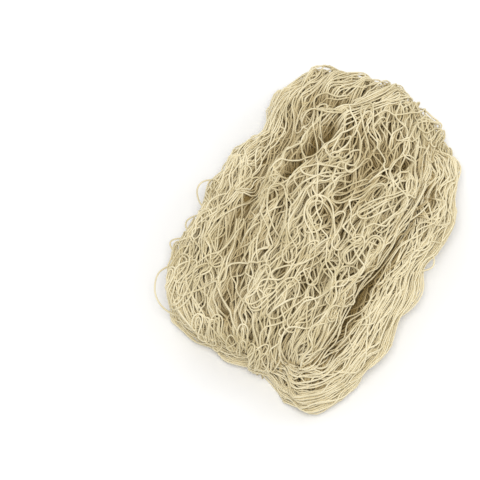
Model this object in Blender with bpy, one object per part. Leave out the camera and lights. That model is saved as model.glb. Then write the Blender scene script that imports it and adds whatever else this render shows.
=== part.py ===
"""Decorative fishing net: a knotted net of cream cotton twine, 2 m by 4 m when spread out, lying as a loose bundle.

The net is one piece, so the bundle is one solid. Its twine runs along the bundle, gathers at both ends and
turns under, and a rolled rim goes round a lower, tangled middle. The solid is a loft of cross-sections along Y.
Its lengthways lines zigzag, so that neighbours meet and part as the closed meshes of a hanging net do, and the
crests of those lines are raised as strands of twine. Loops that stand off the bundle are joined to it.

Lengths in the tables are in millimetres, and Blender's are in metres.
"""

import math

import bmesh
import bpy
import numpy as np

MM = 0.001

# The twine, and the loops of it that stand off the bundle
TWINE_D = 1.7
LOOP_SIDES = 5
LOOP_STEPS = 14
LOOP_FULLNESS = 0.7
ROOT_DEPTH = 5.0

# The grid: every other lengthways line is a strand's crest, and the one beside it the hollow of a mesh
STRANDS = 46
RINGS = 47
STRAND_RISE = 1.5
HOLLOW_DROP = 2.2
MESH_CYCLES = 4.5
ZIGZAG_SHARE = 0.38
CYCLE_WANDER = 1.3
STRAND_WANDER = 0.8
OPEN_FROM = 0.3
OPEN_MOST = 1.2

# The sections' shape: powers of a superellipse, and how thinly lines run along the underside
CROWN_POWER = 0.82
SIDE_POWER = 0.86
UNDERSIDE_SHARE = 0.35
OUTLINE_STEPS = 721

# Gentle lumps all over, and the line down the middle that every side faces away from
LUMP_RISE = 1.6
LUMP_LENGTH = 62
SPINE_SHARE = 0.8
SPINE_Z = 20

# How far up the side the relief starts, so that the underside stays flat
FLAT_BELOW = 1.0
FULL_ABOVE = 9.0

SHARP_ANGLE = 50
CREAM = (0.80, 0.73, 0.56, 1.0)

# Cross-sections from the gathered near end to the far end. left and right are the outline at its widest,
# side_z the height where it is widest, crown_z the top, under how far the section curves down below side_z.
SECTIONS = [
    dict(y=-128, left=38, right=38, side_z=15, crown_z=15, under=0),
    dict(y=-125.5, left=24, right=50, side_z=15, crown_z=24, under=13),
    dict(y=-119, left=6, right=58, side_z=17, crown_z=33, under=24),
    dict(y=-110, left=-28, right=64, side_z=18, crown_z=40, under=32),
    dict(y=-99, left=-66, right=68, side_z=20, crown_z=46, under=37),
    dict(y=-83, left=-80, right=73, side_z=22, crown_z=51, under=40),
    dict(y=-57, left=-88, right=79, side_z=23, crown_z=55, under=42),
    dict(y=-28, left=-87, right=82, side_z=24, crown_z=58, under=43),
    dict(y=3, left=-86, right=83, side_z=24, crown_z=60, under=43),
    dict(y=33, left=-80, right=87, side_z=24, crown_z=60, under=43),
    dict(y=58, left=-69, right=84, side_z=24, crown_z=58, under=42),
    dict(y=81, left=-66, right=77, side_z=23, crown_z=54, under=40),
    dict(y=99, left=-64, right=66, side_z=21, crown_z=49, under=37),
    dict(y=113, left=-57, right=51, side_z=19, crown_z=42, under=32),
    dict(y=123, left=-46, right=35, side_z=17, crown_z=33, under=24),
    dict(y=129, left=-30, right=14, side_z=15, crown_z=24, under=13),
    dict(y=132, left=-8, right=-8, side_z=15, crown_z=15, under=0),
]

# Folds and hollows of the upper side, as lines in plan. A minus rise is a crease, a plus rise a raised fold.
FOLDS = [
    dict(
        name="crease inside the right-hand rim",
        line=[(60, 84), (68, 58), (65, 28), (61, -3), (53, -27), (48, -55), (45, -88), (38, -106), (20, -112)],
        width=7.5,
        rise=-13,
    ),
    dict(
        name="overhanging dark gap beside it",
        line=[(54, -18), (50, -40), (46, -60)],
        width=5,
        rise=-7,
    ),
    dict(
        name="crease inside the left-hand rim",
        line=[(-36, 98), (-45, 84), (-48, 66), (-52, 42), (-53, 20), (-52, -1), (-48, -25), (-41, -66), (-33, -92)],
        width=6,
        rise=-8,
    ),
    dict(name="deep pocket at the top left", line=[(-19, 64), (-27, 52), (-33, 30)], width=7, rise=-13),
    dict(name="small pocket under the far rim", line=[(-30, 98), (-16, 101)], width=6, rise=-8),
    dict(name="hollow in the middle", line=[(22, 44), (10, 20), (4, 6)], width=9, rise=-4),
    dict(name="rolled right-hand rim", line=[(72, 80), (82, 40), (80, 0), (77, -50), (65, -94)], width=10, rise=4),
    dict(name="bunch across the middle", line=[(40, 62), (38, 20), (30, -20), (30, -70), (22, -98)], width=10, rise=5),
    dict(name="second bunch", line=[(4, 78), (2, 44), (-14, 0), (-14, -48), (-6, -88)], width=11, rise=5),
    dict(name="rolled left-hand rim", line=[(-54, 92), (-62, 52), (-72, 10), (-72, -40), (-58, -88)], width=10, rise=4),
    dict(name="lobe at the lower left", line=[(-78, -44), (-74, -76)], width=14, rise=5),
    dict(name="notch in the near edge", line=[(-2, -92), (-4, -120)], width=8, rise=-7),
]

# Loops of twine that stand off the bundle. station counts SECTIONS rows and angle goes round a section from
# the right-hand side over the top, in degrees; rise is how far the loop's middle stands off the surface.
LOOPS = [
    dict(station=(6.0, 4.2), angle=(172, 174), rise=12),
    dict(station=(6.6, 6.1), angle=(168, 173), rise=7),
    dict(station=(7.4, 6.8), angle=(169, 173), rise=6),
    dict(station=(8.3, 7.5), angle=(167, 172), rise=6),
    dict(station=(9.2, 8.5), angle=(165, 170), rise=5),
    dict(station=(10.2, 9.6), angle=(160, 168), rise=5),
    dict(station=(5.2, 6.0), angle=(150, 138), rise=6),
    dict(station=(7.1, 7.9), angle=(146, 138), rise=6),
    dict(station=(8.6, 9.5), angle=(132, 140), rise=6),
    dict(station=(10.6, 11.4), angle=(128, 118), rise=6),
    dict(station=(9.9, 10.8), angle=(106, 114), rise=7),
    dict(station=(8.2, 9.1), angle=(104, 92), rise=6),
    dict(station=(6.5, 7.4), angle=(118, 110), rise=6),
    dict(station=(4.6, 5.6), angle=(112, 122), rise=5),
    dict(station=(4.9, 5.8), angle=(92, 84), rise=6),
    dict(station=(6.8, 7.6), angle=(88, 80), rise=6),
    dict(station=(9.2, 10.2), angle=(80, 70), rise=6),
    dict(station=(11.0, 11.9), angle=(88, 78), rise=5),
    dict(station=(7.9, 8.8), angle=(66, 58), rise=5),
    dict(station=(5.7, 6.5), angle=(60, 66), rise=5),
    dict(station=(10.9, 11.7), angle=(52, 44), rise=5),
    dict(station=(4.2, 5.0), angle=(58, 48), rise=5),
    dict(station=(8.5, 7.8), angle=(12, 16), rise=6),
    dict(station=(5.4, 4.7), angle=(14, 9), rise=6),
]


def clear_scene():
    for old in list(bpy.data.objects):
        bpy.data.objects.remove(old)


def row_values(name, at):
    """One column of SECTIONS at fractional row numbers, as a smooth Catmull-Rom curve through the rows."""
    rows = np.array([section[name] for section in SECTIONS], float)
    ends = np.concatenate([[2 * rows[0] - rows[1]], rows, [2 * rows[-1] - rows[-2]]])
    below = np.clip(np.floor(at).astype(int), 0, len(rows) - 2)
    part = at - below
    before, start, end, after = (ends[below + k] for k in range(4))
    return 0.5 * (
        2 * start
        + (end - before) * part
        + (2 * before - 5 * start + 4 * end - after) * part**2
        + (3 * start - before - 3 * end + after) * part**3
    )


def smooth_step(values, low, high):
    share = np.clip((values - low) / (high - low), 0, 1)
    return share * share * (3 - 2 * share)


def waves(a, b, seed, scale, count=7):
    """Gentle lumps between about -1 and 1: a sum of plane waves of seeded direction and phase over (a, b)."""
    random = np.random.default_rng(seed)
    total = np.zeros(np.broadcast(a, b).shape)
    for _ in range(count):
        heading = random.uniform(0, 2 * math.pi)
        length = scale * random.uniform(0.7, 1.5)
        phase = random.uniform(0, 2 * math.pi)
        total += np.sin((a * math.cos(heading) + b * math.sin(heading)) * 2 * math.pi / length + phase)
    return total / math.sqrt(count) / 1.4


def section_points(station, angle):
    """Points of the plain loft: a superellipse in each section, cut off flat at the floor."""
    left, right = row_values("left", station), row_values("right", station)
    side_z, crown_z = row_values("side_z", station), row_values("crown_z", station)
    under = np.maximum(row_values("under", station), 0)
    cosine, sine = np.cos(angle), np.sin(angle)
    across = np.sign(cosine) * np.abs(cosine) ** SIDE_POWER
    x = (left + right) / 2 + (right - left) / 2 * across
    above = side_z + (crown_z - side_z) * np.abs(sine) ** CROWN_POWER
    below = side_z - under * np.abs(sine)
    z = np.where(sine >= 0, above, np.maximum(below, 0))
    y = row_values("y", station) + np.zeros_like(x)
    return np.stack([x, y, z], axis=-1)


def surface_normals(points, station, angle):
    """Outward unit normals of the plain loft, from small steps along it and round it."""
    step = 1e-3
    inner = np.clip(station, 2 * step, len(SECTIONS) - 1 - 2 * step)
    along = section_points(inner + step, angle) - section_points(inner - step, angle)
    around = section_points(inner, angle + step) - section_points(inner, angle - step)
    normals = np.cross(around, along)
    lengths = np.linalg.norm(normals, axis=-1, keepdims=True)
    away = points - points * (0, SPINE_SHARE, 0) - (0, 0, SPINE_Z)
    normals = np.where(lengths > 1e-9, normals / np.maximum(lengths, 1e-9), away)
    facing = np.sign((normals * away).sum(-1, keepdims=True))
    return normals * np.where(facing == 0, 1, facing)


def distance_to_line(x, y, line):
    """Distance in plan from each point to a line of straight pieces."""
    nearest = np.full(x.shape, np.inf)
    for (ax, ay), (bx, by) in zip(line[:-1], line[1:]):
        dx, dy = bx - ax, by - ay
        share = np.clip(((x - ax) * dx + (y - ay) * dy) / (dx * dx + dy * dy), 0, 1)
        nearest = np.minimum(nearest, np.hypot(x - ax - share * dx, y - ay - share * dy))
    return nearest


def fold_relief(points, angle):
    """How far folds and lumps move the surface along its normal. The folds belong to the upper side."""
    x, y = points[..., 0], points[..., 1]
    top = smooth_step(np.sin(angle), -0.45, 0.1)
    relief = LUMP_RISE * waves(x + 2 * points[..., 2], y, seed=11, scale=LUMP_LENGTH)
    for fold in FOLDS:
        away = distance_to_line(x, y, fold["line"]) / fold["width"]
        relief = relief + top * fold["rise"] * np.exp(-(away**2))
    return relief


def even_angles(share):
    """Angles at shares of the way round a section, spaced evenly along its upper outline and thinly below it."""
    angle = np.linspace(0, 2 * math.pi, OUTLINE_STEPS)
    middle = np.full(angle.shape, (len(SECTIONS) - 1) / 2)
    outline = section_points(middle, angle)
    pieces = np.linalg.norm(np.diff(outline, axis=0), axis=1)
    floor = (outline[1:, 2] <= 0) & (outline[:-1, 2] <= 0)
    along = np.concatenate([[0], np.cumsum(pieces * np.where(floor, UNDERSIDE_SHARE, 1))])
    turns = np.floor(share)
    return np.interp(share - turns, along / along[-1], angle) + 2 * math.pi * turns


def strand_angles(station):
    """(angle of each lengthways line at each ring, how open the mesh beside each strand is there).

    Strands zigzag in opposite phase to their neighbours, so that they meet and part as a net's meshes do.
    Hollows run midway between them.
    """
    number = np.arange(STRANDS)[None, :]
    progress = station[:, None] / (len(SECTIONS) - 1)
    fade = np.sin(math.pi * progress) ** 0.5
    opposite = np.where(number % 2 == 0, 1, -1)
    turn = 2 * math.pi * number / STRANDS
    wander = waves(3 * np.cos(turn), 3 * np.sin(turn), seed=5, scale=2.5)
    cycle = 2 * math.pi * MESH_CYCLES * progress + CYCLE_WANDER * wander
    drift = STRAND_WANDER * waves(8 * progress, 0 * turn, seed=8, scale=6)
    crest = number + fade * (drift + ZIGZAG_SHARE * opposite * np.sin(cycle))
    following = np.concatenate([crest[:, 1:], crest[:, :1] + STRANDS], axis=1)
    lines = np.stack([crest, (crest + following) / 2], axis=-1)
    return even_angles(lines.reshape(len(station), -1) / STRANDS), following - crest


def strand_relief(openness):
    """Strands stand up, and the hollow beside each is as deep as its mesh is open there."""
    hollow = STRAND_RISE - (STRAND_RISE + HOLLOW_DROP) * np.clip(openness - OPEN_FROM, 0, OPEN_MOST)
    rise = np.stack([np.full(openness.shape, STRAND_RISE), hollow], axis=-1)
    return rise.reshape(len(openness), -1)


def folded_surface(station, angle, strands=0.0):
    """(points, normals) of the loft with its folds, and with the strands' relief where that is given."""
    plain = section_points(station, angle)
    normals = surface_normals(plain, station, angle)
    lift = smooth_step(plain[..., 2], FLAT_BELOW, FULL_ABOVE)
    relief = lift * (fold_relief(plain, angle) + strands)
    points = plain + normals * relief[..., None]
    points[..., 2] = np.where(plain[..., 2] <= 0, 0, np.maximum(points[..., 2], 0.0))
    return points, normals


def bundle_points():
    """Rings of points between the two gathered ends, in millimetres."""
    station = np.linspace(0, len(SECTIONS) - 1, RINGS + 2)[1:-1]
    angle, openness = strand_angles(station)
    station = station[:, None] + np.zeros_like(angle)
    return folded_surface(station, angle, strand_relief(openness))[0]


def bundle_mesh():
    """The closed loft: quads between rings, and a fan at each gathered end."""
    rings = bundle_points()
    count, around = rings.shape[:2]
    ends = [[SECTIONS[k]["left"], SECTIONS[k]["y"], SECTIONS[k]["side_z"]] for k in (0, -1)]
    points = np.concatenate([rings.reshape(-1, 3), ends]) * MM
    first, last = count * around, count * around + 1
    faces = []
    for ring in range(count - 1):
        for line in range(around):
            a, b = ring * around + line, ring * around + (line + 1) % around
            faces.append((a, b, b + around, a + around))
    for line in range(around):
        following = (line + 1) % around
        faces.append((first, following, line))
        faces.append((last, (count - 1) * around + line, (count - 1) * around + following))
    mesh = bpy.data.meshes.new("bundle")
    mesh.from_pydata([tuple(p) for p in points], [], faces)
    outward(mesh)
    return mesh


def outward(mesh):
    """Turns all faces to the outside."""
    shape = bmesh.new()
    shape.from_mesh(mesh)
    bmesh.ops.recalc_face_normals(shape, faces=shape.faces)
    shape.to_mesh(mesh)
    shape.free()


def loop_path(loop):
    """Points along a loop: from one root in the bundle, out over the surface, and back in at the other.

    The two feet drop straight in along the surface's normal, and the height between is half an ellipse.
    """
    share = np.linspace(0, 1, LOOP_STEPS)
    station = np.interp(share, [0, 1], loop["station"])
    angle = np.radians(np.interp(share, [0, 1], loop["angle"]))
    ground, normal = folded_surface(station, angle)
    height = (loop["rise"] + ROOT_DEPTH) * np.sin(math.pi * share) ** LOOP_FULLNESS - ROOT_DEPTH
    return ground + normal * height[:, None]


def tube_mesh(path):
    """A closed tube of TWINE_D round a path, its rings carried along with as little twist as can be."""
    tangents = np.gradient(path, axis=0)
    tangents /= np.linalg.norm(tangents, axis=1, keepdims=True)
    side = np.cross(tangents[0], (0.3, 0.2, 1.0))
    turns = np.arange(LOOP_SIDES) * 2 * math.pi / LOOP_SIDES
    points = []
    for centre, tangent in zip(path, tangents):
        side = side - tangent * (side @ tangent)
        side /= np.linalg.norm(side)
        other = np.cross(tangent, side)
        ring = centre + TWINE_D / 2 * (np.cos(turns)[:, None] * side + np.sin(turns)[:, None] * other)
        points.extend(ring * MM)
    faces = []
    for step in range(len(path) - 1):
        for turn in range(LOOP_SIDES):
            a, b = step * LOOP_SIDES + turn, step * LOOP_SIDES + (turn + 1) % LOOP_SIDES
            faces.append((a, b, b + LOOP_SIDES, a + LOOP_SIDES))
    faces.append(tuple(range(LOOP_SIDES)))
    faces.append(tuple(range((len(path) - 1) * LOOP_SIDES, len(path) * LOOP_SIDES)))
    mesh = bpy.data.meshes.new("loop")
    mesh.from_pydata([tuple(p) for p in points], [], faces)
    outward(mesh)
    return mesh


def twine_material():
    material = bpy.data.materials.new("cotton_twine")
    material.use_nodes = True
    shader = material.node_tree.nodes["Principled BSDF"]
    shader.inputs["Base Color"].default_value = CREAM
    shader.inputs["Roughness"].default_value = 0.9
    shader.inputs["Metallic"].default_value = 0.0
    return material


def loops_cutter():
    """All standing loops in one hidden helper, which the bundle takes in by a union."""
    joined = bmesh.new()
    for loop in LOOPS:
        mesh = tube_mesh(loop_path(loop))
        joined.from_mesh(mesh)
        bpy.data.meshes.remove(mesh)
    mesh = bpy.data.meshes.new("standing_loops")
    joined.to_mesh(mesh)
    joined.free()
    helper = bpy.data.objects.new("standing_loops", mesh)
    helper.hide_render = True
    helper.display_type = "WIRE"
    bpy.context.scene.collection.objects.link(helper)
    return helper


def make_net():
    mesh = bundle_mesh()
    mesh.materials.append(twine_material())
    mesh.shade_smooth()
    mesh.set_sharp_from_angle(angle=math.radians(SHARP_ANGLE))
    net = bpy.data.objects.new("net", mesh)
    bpy.context.scene.collection.objects.link(net)
    union = net.modifiers.new("standing loops", "BOOLEAN")
    union.operation = "UNION"
    union.solver = "EXACT"
    union.use_self = True
    union.object = loops_cutter()


def main():
    clear_scene()
    make_net()


main()
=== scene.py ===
"""Decorative fishing net, lying as a loose bundle: the looks.

The net is built strand by strand. A layer of it is a family of long strands that zigzag side by side
and meet their neighbours at knots, as the bars of a diamond mesh do. Each bar is longer than the way
between its knots, so it buckles into waves and loops. Layers are laid one after another on a pile,
inside first, and each strand rests on whatever lies under it. The whole pile is then shaped to the
folds of the bundle.

Lengths in the tables and in the numpy code are in millimetres, and Blender's are in metres.
"""

import math

import bpy
import numpy as np
from bpy.props import FloatProperty, FloatVectorProperty, IntProperty, PointerProperty
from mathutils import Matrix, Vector


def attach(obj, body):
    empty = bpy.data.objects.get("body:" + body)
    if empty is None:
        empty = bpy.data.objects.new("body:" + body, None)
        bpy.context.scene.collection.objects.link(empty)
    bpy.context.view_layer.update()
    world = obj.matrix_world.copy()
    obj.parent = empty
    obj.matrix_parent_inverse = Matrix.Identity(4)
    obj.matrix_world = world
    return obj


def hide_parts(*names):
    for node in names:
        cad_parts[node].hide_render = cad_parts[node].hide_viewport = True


bl_info = {
    "name": "Decorative fishing net",
    "version": (1, 0, 0),
    "blender": (4, 5, 0),
    "location": "View3D > Sidebar > Net",
    "description": "Lays a knotted cotton net, strand by strand, as a loose bundle",
    "category": "Add Mesh",
}

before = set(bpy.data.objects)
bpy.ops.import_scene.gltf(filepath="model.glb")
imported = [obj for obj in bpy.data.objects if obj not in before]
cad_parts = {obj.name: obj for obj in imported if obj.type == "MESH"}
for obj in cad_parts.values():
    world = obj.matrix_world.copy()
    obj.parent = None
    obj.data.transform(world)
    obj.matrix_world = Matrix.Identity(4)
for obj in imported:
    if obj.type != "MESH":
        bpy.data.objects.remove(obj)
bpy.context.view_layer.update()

MM = 0.001
NODE = "net"
BODY = "root"

# A bar between two knots: its samples, how far apart its knots lie when pulled tight, the
# most and least that they may, as shares of its length, and how strong its bow may be and how
# often that is halved to find it
SAMPLES = 72
TIGHT_SHARE = 0.988
STRAIGHTEST = 0.998
SLACKEST = 0.2
MOST_BOW = 3.0
BOW_HALVINGS = 14

# How knots stray from even places, and how much of a bar's bow, sway, ripple and phase is its own
STRAY_ACROSS = 12.0
STRAY_ALONG = 0.4
OWN_BOW = 0.6
OWN_SWAY = 0.5
COMMON_SWAY = 0.6
RIPPLE = 0.12
PHASE = 0.5

# The twine's sides, how strands differ in girth, the fewest points of a run, and a knot's length,
# girth, the samples beside it that give its way, and its form along that
TWINE_SIDES = 5
GIRTHS = (0.92, 1.08)
LEAST_POINTS = 5
KNOT_LENGTH = 3.4
KNOT_GIRTH = 1.35
KNOT_REACH = 2
KNOT_STEPS = np.array([-0.5, -0.25, 0.25, 0.5])
KNOT_FORM = np.array([0.5, 1, 1, 0.5])

# The skin that the layers follow: its grid, the shape of its sections, as in the solid, how many are
# worked out, the least half width of one, and how far out a place beyond the last one counts as
CELL = 0.5
SKIN_X = 176.0
SKIN_Y = 214.0
CROWN_POWER = 0.82
SIDE_POWER = 0.86
STATIONS = 3000
NARROWEST = 1e-3
OUTSIDE = 9.0

# The walks over the skin, one for each degree: how far out the outline may lie and how often that is
# halved to find it, the steps over the crown and under it, the angle where the underside ends, how near
# the floor is on it, the longest walk, and how far short of a table's end a place is looked up
DEGREES = np.arange(361)
FARTHEST = 200.0
RIM_HALVINGS = 30
WALK_STEPS = 500
WALK_END = 0.35
ON_FLOOR = 0.01
LONGEST_WALK = 280
LAST_CELL = 1.001

# How the skin is smoothed, in cells, how far it may be stretched, and where its folds fade out at the rim
RIM_BLUR = 5
POINT_BLUR = 5
NORMAL_BLUR = 9
MOST_STRETCH = 1.6
FOLD_FADE = (-14, 6)

# The pile: how deep the heap under it lies, how far strands lap under the bundle, how broadly it
# settles to the skin and how far below it, and how far and over what length strand ends dip into it
SHELL = 17.0
LAP = 8.0
SETTLE = 26.0
NAP = 1.0
DIP = 6.0
DIP_LENGTH = 14.0

# Over what samples a strand bends where it crosses others, by turns, and is smoothed on the pile and at
# the end, the least share of covered cells in a mean, how many radii off the floor strands keep, and in
# how many turns the strands of a layer are laid
STIFFNESS = (15, 13, 11, 9)
REST_BLUR = 5
LAST_BLUR = 7
LEAST_COVER = 0.02
FLOOR_CLEARANCE = 1.1
TURNS = 4

# Over what reach a strand's neighbours hide it, over what reach and samples strands bridge the creases,
# and how much the strands round it and the folds count in a strand's depth, which sets its painted shade
LOCAL = 7.0
BRIDGING = 11.0
TAUT = (41, 31, 21)
LOCAL_SHARE = 0.95
RELIEF_SHARE = 0.7

# The rims lead the strands. At the near end they do so from where the bundle is FLOW_LEAST
# wide, and at the far end up to FLOW_FAR. FLOW_BLUR is how smoothly. From FLOW_LEAN_FROM on,
# strands lean aside by FLOW_LEAN.
FLOW_LEAST = 105.0
FLOW_BLUR = 24.0
FLOW_FAR = 42.0
FLOW_LEAN = -0.14
FLOW_LEAN_FROM = 10.0

# How long a layer over the whole bundle is, over what steps a guide's curve is smoothed, how far in
# from its ends strands end, and the room of strands that nothing ends
LAYER_LENGTH = 408.0
GUIDE_BLUR = 17
GUIDE_END = 6.0
ALL_INSIDE = 99.0

# How the seeds of layers, and of the loops on top, follow from the chosen one
SEED_STEP = 1000
LAYER_SEED = 17
HAIRPIN_SEED = 7
FIRST_HAIRPIN = 400
FIRST_UNDERSIDE = 50
PARTING_SEED = 5
RUN_SEED = 9

# How many plane waves make gentle ones, the range of their lengths, and what brings their sum to about 1
WAVE_COUNT = 7
WAVE_LENGTHS = (0.7, 1.5)
WAVE_HEIGHT = 1.4

# Gentle waves that vary the net: a number that is added to the seed, the rise, what the first place is
# divided by, what the second is multiplied by, and the mean length of a wave
WAVES = {
    "tight patches": (40, 0.5, 30, 0.6, 2.5),
    "lift of knots": (50, 0.7, 5, 1, 3.0),
    "bows": (60, 1, 4, 1, 2.4),
    "sways": (70, 1, 3, 1, 2.0),
    "bunches": (80, 4.0, 1, 0.3, 26.0),
    "wander": (90, 5.0, 2, 1, 90.0),
    "drift": (95, 2.0, 1, 1, 40.0),
    "wander on a guide": (3, 1.3, 1, 1, 50),
    "ends on a guide": (5, 5, 1, 1, 20),
    "ends at a crease": (5, 3, 1, 1, 30),
    "uneven swing": (0, 0.1, 1, 7, 4.0),
    "swerve": (2, 0.12, 1, 3, 1.0),
    "hairpin wobble": (1, 0.8, 1, 5, 5.0),
    "curl wobble": (0, 1.1, 1, 5, 5.0),
    "lumps": (11, 1.6, 1, 1, 62),
    "furrows": (12, 2.6, 1, 0.35, 20),
}

# Cross-sections from the near end to the far end: the place along the bundle, the left and right edge,
# the height of the edge and of the crown, and how far the underside reaches below the edge
SECTION_COLUMNS = ("y", "left", "right", "side_z", "crown_z", "under")
SECTIONS = (
    (-123, 35, 35, 15, 15, 0),
    (-120, 30, 43, 15, 24, 13),
    (-114, 17.5, 49, 17, 33, 24),
    (-107, -9, 55.5, 18, 40, 32),
    (-97, -58, 59, 20, 46, 37),
    (-83, -76, 66, 22, 51, 40),
    (-57, -82, 70.5, 23, 55, 42),
    (-28, -83, 75.5, 24, 58, 43),
    (3, -84, 76, 24, 60, 43),
    (33, -75, 85, 24, 60, 43),
    (58, -62, 80, 24, 58, 42),
    (81, -61.5, 74, 23, 54, 40),
    (99, -62.5, 64.5, 21, 49, 37),
    (115, -60.5, 50, 19, 42, 32),
    (128, -52, 33, 17, 33, 24),
    (135, -36, 13, 15, 24, 13),
    (138, -11, -11, 15, 15, 0),
)

# Folds and hollows of the upper side: their width, rise and line in plan. A minus rise is a crease or
# hollow. Through the strands' depth the folds also paint shade: twine in a crease or hollow is painted
# darker, and on a rise lighter.
FOLDS = {
    "right crease": (6.5, -10, [(68, 60), (65, 28), (61, -3), (53, -27), (48, -55), (45, -88)]),
    "its far end": (7, -8, [(57, 90), (64, 74), (68, 60)]),
    "its near end": (7, -8, [(45, -88), (37, -104), (14, -110)]),
    "dark gap beside it": (5.5, -8, [(56, -12), (51, -36), (47, -64)]),
    "left crease": (5, -7, [
        (-36, 98), (-45, 84), (-48, 66), (-52, 42), (-53, 20), (-52, -1),
        (-48, -25), (-41, -66), (-33, -92),
    ]),
    "pocket at the top left": (5.5, -17, [(-16, 74), (-27, 50), (-36, 28)]),
    "small pocket under the far rim": (6, -9, [(-30, 98), (-16, 101)]),
    "broad hollow": (24, -5, [(-16, 76), (28, 64)]),
    "hollow left of the middle": (9, -4, [(-24, 24), (-28, -8)]),
    "hollow in the middle": (12, -6, [(34, 60), (16, 30), (4, 6)]),
    "rolled right-hand rim": (10, 4, [(72, 74), (80, 40), (78, 0), (74, -50), (62, -92)]),
    "bunch across the middle": (10, 5, [(44, 50), (38, 20), (30, -20), (30, -70), (22, -98)]),
    "second bunch": (11, 5, [(-4, 24), (-14, 0), (-14, -48), (-6, -88)]),
    "rolled left-hand rim": (10, 4, [(-54, 92), (-62, 52), (-72, 10), (-72, -40), (-58, -88)]),
    "lobe at the lower left": (14, 5, [(-78, -44), (-74, -76)]),
}

# Lines on the unrolled skin along which strands lie together
GUIDES = {
    "right rim": [
        (60, 112), (72, 94), (79, 72), (83, 44), (82, 16), (80, -22), (77, -52), (71, -80),
        (63, -103), (52, -120), (34, -130), (12, -134), (-10, -130), (-28, -130),
    ],
    "far end": [(-40, 78), (-33, 106), (-24, 132), (-6, 160), (8, 180)],
    "rope": [(-30, 58), (-26, 67), (-20, 78), (-10, 92), (2, 106), (14, 126), (20, 146)],
    "left rim": [(-74, 4), (-71, 40), (-68, 70), (-64, 98), (-58, 124)],
    "left lobe": [(-62, 40), (-72, 10), (-80, -30), (-82, -66), (-75, -98), (-58, -120)],
    "near edge": [
        (-92, -40), (-90, -74), (-84, -98), (-70, -114), (-50, -122), (-26, -129), (-6, -130), (12, -134),
    ],
    "crest": [
        (64, 78), (61, 54), (57, 28), (53, 0), (45, -28), (40, -56), (38, -86), (30, -104), (10, -112),
    ],
    "crease": [(76, 66), (70, 30), (64, -3), (56, -28), (50, -56), (46, -90), (34, -108)],
    "bridge": [(38, -96), (48, -58), (58, -20), (70, 22), (78, 60)],
}

# Layers of net, inside first. A layer lies all over the bundle, between its creases, or along a guide.
# bar is the length of a bar, gap how far apart its strands are, row the mean way between knots along
# them, and turn their angle to the bundle's flow. kink is how unevenly a bar bends, alike how much
# neighbouring bars bow together, apart how much they bow away from each other by turns, and stray how
# far knots lie off their even places. parts says whether the partings open it, and hold how it lies
# over creases: close, taut or over them. girth is its twine's share of the full thickness, pale how
# much painted light it gets, being painted paler than its depth's painted shade makes it and brighter,
# and pick how many samples a step of the mesh covers.
NET = dict(
    where="all", bar=45.0, row=42.5, kink=0.1, alike=0.85, apart=0.3, stray=0.09, parts=False, hold="close",
    girth=1.0, pale=0.0, pick=6,
)
LOOSE = dict(NET, where="between", parts=True, pick=4)
OVALS = dict(LOOSE, bar=34.0, apart=1.4, pick=5)
# Rims get painted light through pale: they are painted paler where the lamps light them
RIM = dict(NET, piece="rims", row=44.9, turn=0, kink=0.04, alike=0.8, stray=0.05, girth=0.88, pale=2.0)
LAYERS = (
    dict(NET, piece="inner", strands=84, gap=3.6, turn=8, pick=9),
    dict(NET, piece="inner", strands=100, gap=3.0, turn=-8, pick=9),
    dict(NET, piece="middle_a", strands=112, gap=2.6, turn=3),
    dict(NET, piece="middle_a", strands=108, gap=2.7, turn=-5, parts=True),
    dict(NET, piece="middle_b", strands=100, gap=2.9, turn=2, parts=True),
    dict(RIM, where="far end", strands=56, gap=1.6, pale=0.0),
    dict(RIM, where="left rim", strands=18, gap=1.6),
    dict(RIM, where="left rim", strands=12, gap=1.7, turn=2),
    dict(RIM, where="near edge", strands=18, gap=1.8, row=44.5),
    dict(RIM, where="near edge", strands=14, gap=2.0, row=44, turn=1),
    # The right rim is painted much paler, as painted light on the side that the right-hand lamp lights
    dict(RIM, where="right rim", strands=26, gap=1.5, pale=6.0),
    dict(RIM, where="right rim", strands=23, gap=1.5, row=44.8, turn=1, pale=6.0),
    dict(LOOSE, piece="upper_a", strands=80, gap=3.8, turn=-4),
    dict(OVALS, piece="upper_a", strands=60, gap=5.2, row=32, turn=1, alike=0.7, stray=0.12),
    dict(OVALS, piece="upper_b", strands=46, gap=6.6, row=31, turn=-3, alike=0.55, stray=0.14),
    dict(OVALS, piece="upper_b", strands=34, gap=9.0, row=30, turn=3, alike=0.45, stray=0.16),
    dict(RIM, where="left lobe", strands=16, gap=2.6, row=42.5, kink=0.1, stray=0.14),
    dict(RIM, where="crease", strands=8, gap=3.2, row=43.0, stray=0.14, pale=0.0),
    dict(RIM, where="bridge", strands=6, gap=4.0, row=43.8, stray=0.12, hold="over"),
    # The crest is painted paler, as painted light
    dict(RIM, where="crest", strands=8, gap=1.6, row=44.6, hold="over", pale=3.5),
    dict(RIM, where="rope", strands=10, gap=1.7, row=44.7, alike=0.9),
    dict(OVALS, piece="top", strands=24, gap=12.5, row=29, turn=-2, alike=0.4, stray=0.18, hold="taut"),
)

# Sheets of net under the bundle, flat on the floor, and how high its underside may be over them
UNDERSIDE = (
    dict(NET, piece="underside", strands=60, gap=4.0, turn=5, pick=8),
    dict(NET, piece="underside", strands=60, gap=4.0, turn=-6, pick=8),
)
BASE_RISE = 5.0

# Where the upper layers end: before the far rim, and at the two creases. For each crease, the side that
# they lie on, how far down it ends them, and the turns that carry it on at its near and far end. Nearer
# than NEAR_PART they also end NEAR_LAP beyond the rim.
FAR_LIMIT = ((-70, 74), (-50, 92), (-30, 102), (0, 112), (20, 126), (40, 170))
CREASES = {
    "right crease": (
        1, -999, [(-40, -117), (16, -112), (36, -105)], [(65, 76), (60, 92), (66, 106), (99, 125)],
    ),
    "left crease": (-1, -18, [], [(-48, 124), (-99, 148)]),
}
NEAR_PART = -84
NEAR_LAP = 3.0
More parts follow.
